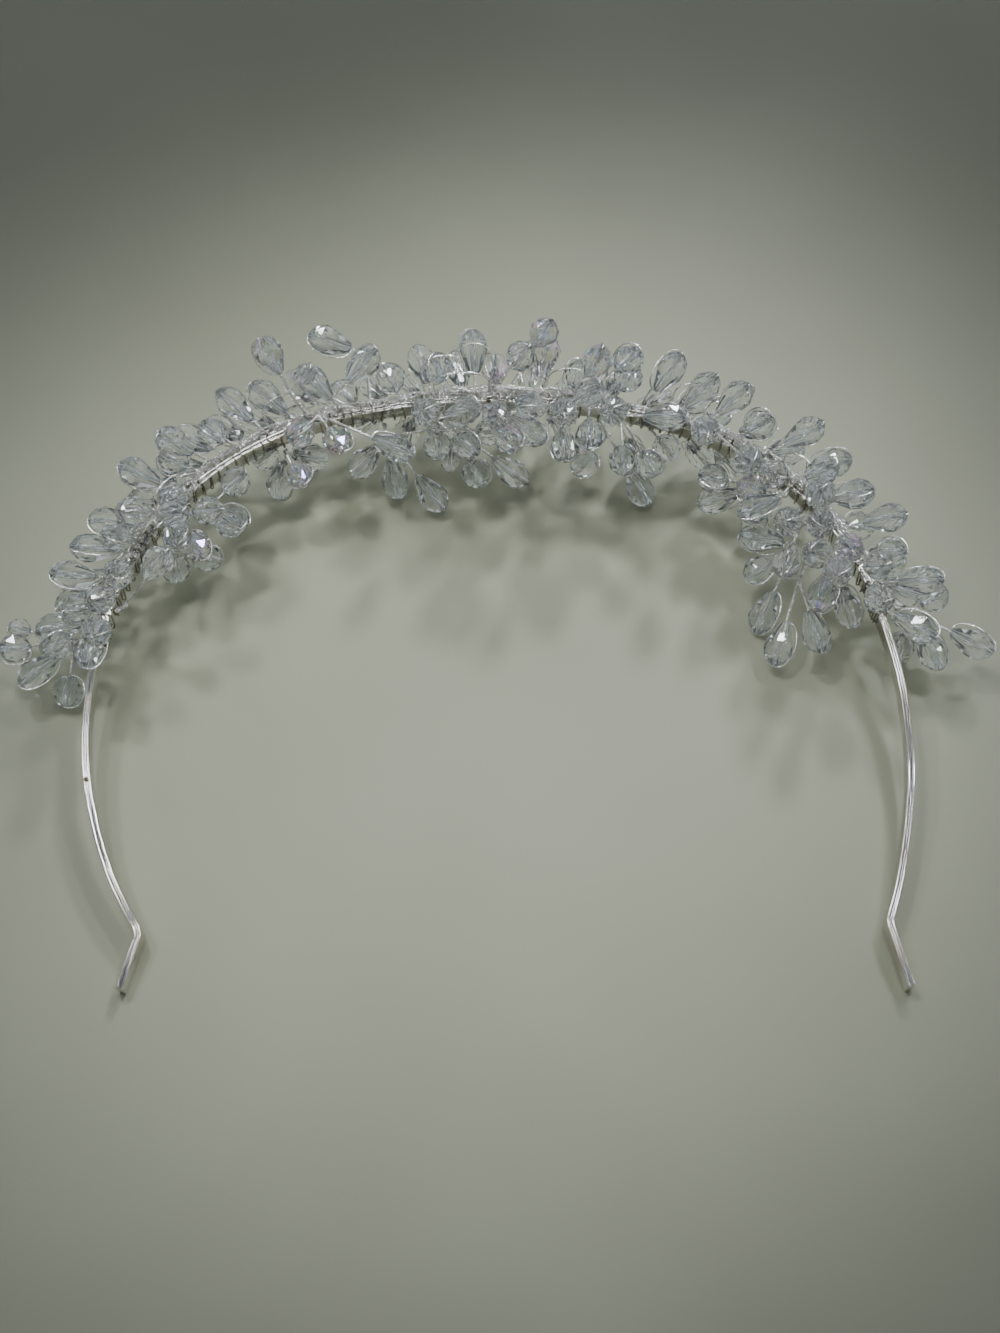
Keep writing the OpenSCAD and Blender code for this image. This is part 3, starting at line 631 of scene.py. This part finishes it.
def beadWires(mine, steps, chance):
    # One wire for each bead: up the stalk, through the hole, over the tip, back round the bead's side
    # and down the stalk, where it twists with its own first half
    start, axis = beads["start"][mine], beads["axis"][mine]
    half = spans[beads["kind"][mine]][:, None] / 2
    end = wireShape["end"]
    near = beads["middle"][mine] - axis * half
    control = near - axis * end
    upright = up + loopShape["scatter"] * chance.normal(size=axis.shape)
    plane = unit(upright - axis * (upright * axis).sum(-1, keepdims=True))
    side = np.cross(plane, axis)
    u = np.linspace(0, 1, steps)[None, :, None]
    centre = ((1 - u) ** 2 * start[:, None] + 2 * u * (1 - u) * control[:, None] + u ** 2 * near[:, None])
    ahead = np.gradient(centre, axis=1)
    distance = travelled(centre)
    distance = distance - distance[:, -1:]
    strand = wireShape["strand"]
    narrowed = np.clip(loopShape["spread"] - u[..., 0] ** loopShape["closing"], loopShape["least"], 1)
    radius = strand / 2 * narrowed * np.ones_like(distance)
    across = np.broadcast_to(plane[:, None], centre.shape)
    first = twisted(centre, ahead, across, distance, radius, 0.0)
    second = twisted(centre, ahead, across, distance, radius, math.pi)
    # Over the tip and back: an arch of the bead's own width, flattened along its side
    v = np.linspace(0, math.pi, loopShape["steps"])[None, :, None]
    girth = girths[beads["kind"][mine]][:, None, None] / 2
    wide = (girth + strand * loopShape["aside"]) * np.sin(v) ** loopShape["fullness"]
    high = (half[:, None] + strand * loopShape["beyond"]) * np.cos(v)
    arch = beads["middle"][mine][:, None] + side[:, None] * wide + axis[:, None] * high
    hole = np.linspace(0, 1, loopShape["holeSteps"])[None, 1:-1, None]
    through = first[:, -1:] * (1 - hole) + (beads["middle"][mine] + axis * half)[:, None] * hole
    path = np.concatenate([first, through, arch[:, :-1], second[:, ::-1]], 1)
    return tubes(path, plane, strand / 2, wireShape["sides"])


stemShape = {"strands": 3, "overrun": 0.3, "radius": 0.62,  # overrun in mm, radius in strands
             "leastSteps": 12, "stepsPerTurn": 10, "across": (0.36, 0.48, 0.8)}


def stemWires(start, fork):
    # Strands twisted round the line from the binding turn to the fork, and a little past both
    length = np.linalg.norm(fork - start)
    steps = max(stemShape["leastSteps"], int(length / wireShape["pitch"] * stemShape["stepsPerTurn"]))
    u = np.linspace(0, 1, steps)[None, :, None]
    ahead = unit(fork - start)
    strands = stemShape["strands"]
    centre = np.repeat(start + (fork - start) * u, strands, 0) \
        + ahead * (u - 0.5) * stemShape["overrun"] * 2
    distance = np.linspace(0, length, steps)[None].repeat(strands, 0)
    side = unit(np.cross(ahead, np.array(stemShape["across"])))
    radius = np.full(distance.shape, wireShape["strand"] * stemShape["radius"])
    phase = (np.arange(strands) * 2 * math.pi / strands)[:, None]
    path = twisted(centre, np.broadcast_to(ahead, centre.shape), np.broadcast_to(side, centre.shape),
                   distance, radius, phase)
    return tubes(path, np.tile(side, (strands, 1)), wireShape["strand"] / 2, wireShape["sides"])


knotShape = {"turns": 2, "steps": 22, "radius": 0.55, "pitch": 1.1, "wire": 0.9}


def knots(at, ahead, chance):
    # Close turns of wire at a twist: a short coil round the direction ahead, at + ahead . rise
    # + r (cos v . side + sin v . b)
    full = 2 * knotShape["turns"] * math.pi
    v = np.linspace(0, full, knotShape["steps"])[None, :]
    side = unit(np.cross(ahead, unit(chance.normal(size=ahead.shape))))
    b = np.cross(ahead, side)
    r = wireShape["stalk"] * knotShape["radius"]
    rise = (v / full - 0.5) * wireShape["strand"] * knotShape["pitch"] * knotShape["turns"]
    path = (at[:, None] + ahead[:, None] * rise[..., None]
            + r * (np.cos(v)[..., None] * side[:, None] + np.sin(v)[..., None] * b[:, None]))
    return tubes(path, ahead, wireShape["strand"] / 2 * knotShape["wire"], wireShape["sides"])


bindingShape = {"slant": 0.5, "looseness": (-0.03, 0.05), "squareness": 0.32, "steps": 28,
                "ripple": 0.1, "rippleShift": 9}


def bindingTurns(runs, chance):
    # A closed turn round the strip: a rounded rectangle, sign(f) |f| ^ squareness of the cosine and
    # the sine, that slants along the band and ripples a little
    half = bandHalf + wireShape["gap"] + wireShape["binding"] / 2
    v = np.arange(bindingShape["steps"]) * 2 * math.pi / bindingShape["steps"]
    out, high = (np.sign(f) * np.abs(f) ** bindingShape["squareness"] for f in (np.cos(v), np.sin(v)))
    count = len(runs)
    slant = chance.uniform(-bindingShape["slant"], bindingShape["slant"], (count, 1))
    fat = chance.uniform(*bindingShape["looseness"], (count, 1))
    run = runs[:, None] + slant * np.sin(v)[None] \
        + bindingShape["ripple"] * np.sin(2 * v + slant * bindingShape["rippleShift"])
    offset = np.stack([np.zeros_like(run), (half[0] + fat) * out[None], (half[1] + fat) * high[None]], -1)
    path = fromBand(run, offset)
    return tubes(path, axes(runs)[0], wireShape["turn"] / 2, wireShape["sides"], closed=True)


tailShape = {
    "heights": (-1.1, -0.35, 0.35, 1.1), "wave": (9, 15), "wander": 0.5,
    "off": 0.12, "swell": 0.1, "swellRun": 2.3,  # clear of the band, and in and out along it
    "past": 0.2, "leastSteps": 8, "step": 0.7,
}


def tails(low, high, chance):
    # Ends of the stalks' wires, laid along the outer face under the turns, wandering up and down as
    # height + wander . sin(2 pi run / wave)
    count = len(tailShape["heights"])
    steps = max(tailShape["leastSteps"], int((high - low) / tailShape["step"]))
    run = np.linspace(low, high, steps)[None].repeat(count, 0)
    wave = chance.uniform(*tailShape["wave"], (count, 1))
    lift = np.array(tailShape["heights"])[:, None] + tailShape["wander"] * np.sin(run / wave * 2 * math.pi)
    out = bandHalf[0] + wireShape["gap"] + tailShape["off"] \
        + tailShape["swell"] * np.sin(run / tailShape["swellRun"] + lift)
    path = fromBand(run, np.stack([np.zeros_like(run), out, lift], -1))
    return tubes(path, up[None].repeat(count, 0), wireShape["strand"] / 2, wireShape["sides"])


runnerShape = {
    "length": (9, 19), "off": 0.85, "lastAngle": (-0.3, 1.5), "bulge": (0.1, 0.5), "steps": 90,
    "turning": 0.7,  # under 1, so that the angle changes early
    "wire": 0.9,     # share of a strand's thickness
}


def runners(mine, chance):
    # Stalks' twisted pairs run on along the band towards the crown before they are bound down: round
    # the band's section at an angle that turns to the outer top edge, bulging off it halfway
    half = bandHalf + runnerShape["off"]
    steps, count = runnerShape["steps"], len(mine)
    u = np.linspace(0, 1, steps)[None]
    station = stations[beads["k"][mine]][:, None]
    towards = -np.sign(station)
    run = station + towards * u * chance.uniform(*runnerShape["length"], (count, 1))
    _, out = axes(station[:, 0])
    side = unit(beads["middle"][mine] - fromBand(station[:, 0], np.zeros((count, 3))))
    first = np.arctan2(side[:, 2], (side * out).sum(-1))[:, None]
    last = chance.uniform(*runnerShape["lastAngle"], (count, 1))
    angle = first + (last - first) * u ** runnerShape["turning"]
    reach = boxShare(np.cos(angle), np.sin(angle), half)
    bulge = (1 + chance.uniform(*runnerShape["bulge"], (count, 1)) * np.sin(math.pi * u)) / reach
    centre = roundBand(run, angle, bulge)
    ahead = np.gradient(centre, axis=1)
    distance = travelled(centre)
    radius = np.full(distance.shape, wireShape["strand"] / 2)
    across = np.broadcast_to(up, centre.shape)
    parts = [tubes(twisted(centre, ahead, across, distance, radius, phase), np.tile(up, (count, 1)),
                   wireShape["strand"] / 2 * runnerShape["wire"], wireShape["sides"])
             for phase in (0.0, math.pi)]
    return joined(parts)


looseShape = {"count": 4, "along": 2.2, "angle": (-2.0, 2.4), "curl": 0.5, "length": (1.2, 3.2),
              "off": 0.3, "bend": 1.4, "steps": 9, "wire": 0.84}


def looseEnds(low, high, chance):
    # Cut ends of binding wire that stick out: from the band, a short curl along and away from it
    count, along, curl = looseShape["count"], looseShape["along"], looseShape["curl"]
    u = np.linspace(0, 1, looseShape["steps"])[None]
    run = chance.uniform(low, high, (count, 1)) + u * chance.uniform(-along, along, (count, 1))
    angle = chance.uniform(*looseShape["angle"], (count, 1)) + u * chance.uniform(-curl, curl, (count, 1))
    reach = boxShare(np.cos(angle), np.sin(angle), bandHalf + looseShape["off"])
    far = 1 / reach + chance.uniform(*looseShape["length"], (count, 1)) * u ** looseShape["bend"]
    path = roundBand(run, angle, far)
    return tubes(path, axes(run[:, 0])[0], wireShape["strand"] / 2 * looseShape["wire"],
                 wireShape["sides"])


bareAt = [
    # middle along the band, width, rise, angle round the band
    (-9.0, 7.0, 8.5, 62), (-6.0, 9.0, 6.5, 78), (-3.5, 5.0, 9.5, 50), (14.0, 8.0, 6.0, 60),
    (-38.0, 6.0, 6.0, 55), (36.0, 7.0, 7.0, 48), (-63.0, 6.0, 5.5, 75), (58.0, 6.0, 6.0, 70),
]
bareShape = {"base": 2.0, "sway": 1.2, "fullness": 0.8, "steps": 36, "wire": 0.9, "past": 2}


def bareLoops(mine):
    # Long loops of bare wire that rise from the band and bend back to it, as half ellipses
    look = np.array([bareAt[i] for i in mine])
    v = np.linspace(0, math.pi, bareShape["steps"])[None]
    run = look[:, :1] + look[:, 1:2] / 2 * np.cos(v) + bareShape["sway"] * np.sin(2 * v)
    angle = np.radians(look[:, 3:4])
    far = bareShape["base"] + look[:, 2:3] * np.sin(v) ** bareShape["fullness"]
    path = roundBand(run, angle, far)
    return tubes(path, axes(look[:, 0])[1], wireShape["strand"] / 2 * bareShape["wire"],
                 wireShape["sides"])


def makeWires(field):
    # All wire of a field in one piece: beads' wires, binding turns, tails, runners, ends, knots, stems
    chance = np.random.default_rng(seeds["wires"] + field)
    inField = beads["field"] == field
    length = np.linalg.norm(beads["middle"] - beads["start"], axis=-1) - spans[beads["kind"]] / 2
    parts = []
    for low, high, steps in stalkSteps:
        mine = np.flatnonzero(inField & (length >= low) & (length < high))
        if len(mine):
            parts.append(beadWires(mine, steps, chance))
    own = np.flatnonzero(stationField == field)
    runs = stations[own]
    step = 2 * wireShape["binding"]
    ends = wreathShape["endTurns"]
    bound = runs
    if field == 0:
        bound = np.concatenate([runs[0] - step * np.arange(ends, 0, -1), bound])
    if field == wreathShape["fields"] - 1:
        bound = np.concatenate([bound, runs[-1] + step * np.arange(1, ends + 1)])
    turns = bindingTurns(bound, chance)
    parts.append(turns)
    past = tailShape["past"]
    onward = past if field == wreathShape["fields"] - 1 else stations[own[0] + 1] - stations[own[0]]
    parts.append(tails(bound[0] - past, bound[-1] + onward, chance))
    parts.append(runners(np.flatnonzero(inField & ~beads["twig"]), chance))
    parts.append(looseEnds(bound[0], bound[-1], chance))
    mine = [i for i, bare in enumerate(bareAt) if bound[0] <= bare[0] < bound[-1] + bareShape["past"]]
    if mine:
        parts.append(bareLoops(mine))
    mine = np.flatnonzero(inField & ~beads["twig"])
    parts.append(knots(beads["start"][mine], unit(beads["middle"][mine] - beads["start"][mine]), chance))
    for n, start, fork in stems:
        if stationField[n] == field:
            parts.append(stemWires(start, fork))
            ahead = unit(fork - start)
            parts.append(knots(np.stack([start, fork]), np.stack([ahead, ahead]), chance))
    points, polygons = joined(parts)
    # The binding turns take the second material: tarnish with painted shade
    slots = np.concatenate([np.full(len(f), part is turns) for part in parts for f in part[1]])
    piece = addMesh(f"wires_{field + 1:02d}", points, polygons, slots=slots)
    return finishPiece(piece, [silverWire, tarnishAndShadeWire], "silver_wire", f"stalks_{field + 1:02d}")


for field in range(wreathShape["fields"]):
    makeWires(field)
print("wires made")


# Floor, light and camera
def makeFloor():
    look = {"size": 3.0, "pale": "#a3a58b", "deep": "#9a9b82"}
    half = look["size"] / 2
    mesh = bpy.data.meshes.new("floor")
    corners = [(-half, -half, 0), (half, -half, 0), (half, half, 0), (-half, half, 0)]
    mesh.from_pydata(corners, [], [(0, 1, 2, 3)])
    floor = bpy.data.objects.new("floor", mesh)
    bpy.context.scene.collection.objects.link(floor)
    material, tree, output = newMaterial("paintedTable")
    where = addNode(tree, "ShaderNodeTexCoord")
    clouds = addNode(tree, "ShaderNodeTexNoise", {"Vector": where.outputs["Object"], "Scale": perMetre(60)})
    colour = ramp(tree, clouds.outputs["Fac"], [(0.3, look["deep"]), (0.7, look["pale"])])
    shader = addNode(tree, "ShaderNodeBsdfPrincipled", {"Base Color": colour.outputs["Color"],
                                                        "Roughness": 0.55})
    tree.links.new(shader.outputs[0], output.inputs["Surface"])
    mesh.materials.append(material)


def aimAt(thing, at, target):
    # Puts a lamp at a place with its -Z towards a target
    direction = np.array(target) - np.array(at)
    thing.location = at
    thing.rotation_euler = (math.acos(-direction[2] / np.linalg.norm(direction)), 0,
                            math.atan2(direction[0], -direction[1]) + math.pi)
    bpy.context.scene.collection.objects.link(thing)


def makeStudio():
    # Soft round lamps that pool their light on the table, small bright panels that spark in facets,
    # and a cool room, lightest near the horizon, whose lit and dim patches streak the metal
    studio = {"cone": 22.5, "radius": 0.035, "target": (-0.004, 0.002, 0.0), "tint": "#f6faff",
              "room": [(0.0, "#e6ebee"), (0.25, "#dbe1e5"), (0.45, "#9aa1a5"), (0.8, "#767d81")],
              "dim": 0.1, "lit": 2.6, "plain": 0.75, "patches": 4.0, "patchEdge": (0.53, 0.59),
              "plainBelow": 0.12, "patchyAbove": 0.3}
    lamps = [
        # power, place
        (5.6, (-0.18, 0.20, 0.66)), (6.4, (0.18, 0.44, 0.42)), (3.6, (-0.32, 0.10, 0.62)),
        (4.2, (0.26, 0.26, 0.58)), (3.0, (0.04, 0.02, 0.80)),
    ]
    for i, (power, at) in enumerate(lamps):
        lamp = bpy.data.lights.new(f"poolLamp{i + 1}", "SPOT")
        lamp.energy, lamp.spot_size, lamp.spot_blend = power, math.radians(studio["cone"]), 1.0
        lamp.shadow_soft_size, lamp.color = studio["radius"], toLinear(studio["tint"])[:3]
        aimAt(bpy.data.objects.new(f"poolLamp{i + 1}", lamp), at, studio["target"])
    panels = [
        # width, height, power, place
        (0.14, 0.025, 0.8, (0.30, 0.25, 0.62)), (0.025, 0.14, 0.8, (-0.42, -0.05, 0.60)),
        (0.025, 0.14, 0.8, (0.45, -0.20, 0.55)), (0.14, 0.025, 0.8, (0.05, -0.50, 0.62)),
        (0.035, 0.035, 0.35, (-0.08, 0.08, 0.80)), (0.12, 0.025, 0.65, (0.10, 0.60, 0.45)),
        (0.025, 0.12, 0.65, (-0.30, 0.45, 0.50)), (0.035, 0.035, 0.35, (-0.25, -0.40, 0.75)),
        (0.035, 0.035, 0.35, (0.20, -0.30, 0.78)), (0.025, 0.12, 0.65, (0.55, 0.10, 0.40)),
    ]
    for i, (width, height, power, at) in enumerate(panels):
        panel = bpy.data.lights.new(f"panel{i + 1}", "AREA")
        panel.shape, panel.size, panel.size_y = "RECTANGLE", width, height
        panel.energy, panel.color = power, toLinear(studio["tint"])[:3]
        holder = bpy.data.objects.new(f"panel{i + 1}", panel)
        holder.visible_diffuse = False  # it only sparks in crystal and metal
        aimAt(holder, at, (0, 0, 0))
    world = bpy.data.worlds.new("room")
    bpy.context.scene.world = world
    world.use_nodes = True
    background = world.node_tree.nodes["Background"]
    way = addNode(world.node_tree, "ShaderNodeTexCoord")
    height = addNode(world.node_tree, "ShaderNodeSeparateXYZ", {0: way.outputs["Generated"]})
    room = ramp(world.node_tree, height.outputs[2], studio["room"])
    world.node_tree.links.new(room.outputs["Color"], background.inputs["Color"])
    patches = addNode(world.node_tree, "ShaderNodeTexNoise", {"Vector": way.outputs["Generated"],
                                                              "Scale": studio["patches"], "Detail": 1.0})
    strength = addNode(world.node_tree, "ShaderNodeMapRange",
                       {"Value": patches.outputs["Fac"], "From Min": studio["patchEdge"][0],
                        "From Max": studio["patchEdge"][1], "To Min": studio["dim"],
                        "To Max": studio["lit"]})
    # Near the horizon, where the side views see the room, it is plain
    lift = addNode(world.node_tree, "ShaderNodeMapRange", {"Value": height.outputs[2],
                                                           "From Min": studio["plainBelow"],
                                                           "From Max": studio["patchyAbove"]})
    patchy = addNode(world.node_tree, "ShaderNodeMix", {"Factor": lift.outputs[0], "A": studio["plain"],
                                                        "B": strength.outputs[0]})
    world.node_tree.links.new(patchy.outputs[0], background.inputs["Strength"])


def makeCamera():
    view = {"at": (1.0, -226.5), "height": 312.0, "down": 60.0, "focalPixels": 2000.0, "tall": 1333.0}
    data = bpy.data.cameras.new("camera")
    data.sensor_width = 36.0
    data.lens = view["focalPixels"] / view["tall"] * data.sensor_width
    data.clip_start = 0.01
    camera = bpy.data.objects.new("camera", data)
    camera.location = ((view["at"][0] + shift[0]) * mm, (view["at"][1] + shift[1]) * mm, view["height"] * mm)
    camera.rotation_euler = (math.radians(90 - view["down"]), 0, 0)
    bpy.context.scene.collection.objects.link(camera)
    bpy.context.scene.camera = camera


makeFloor()
makeStudio()
makeCamera()
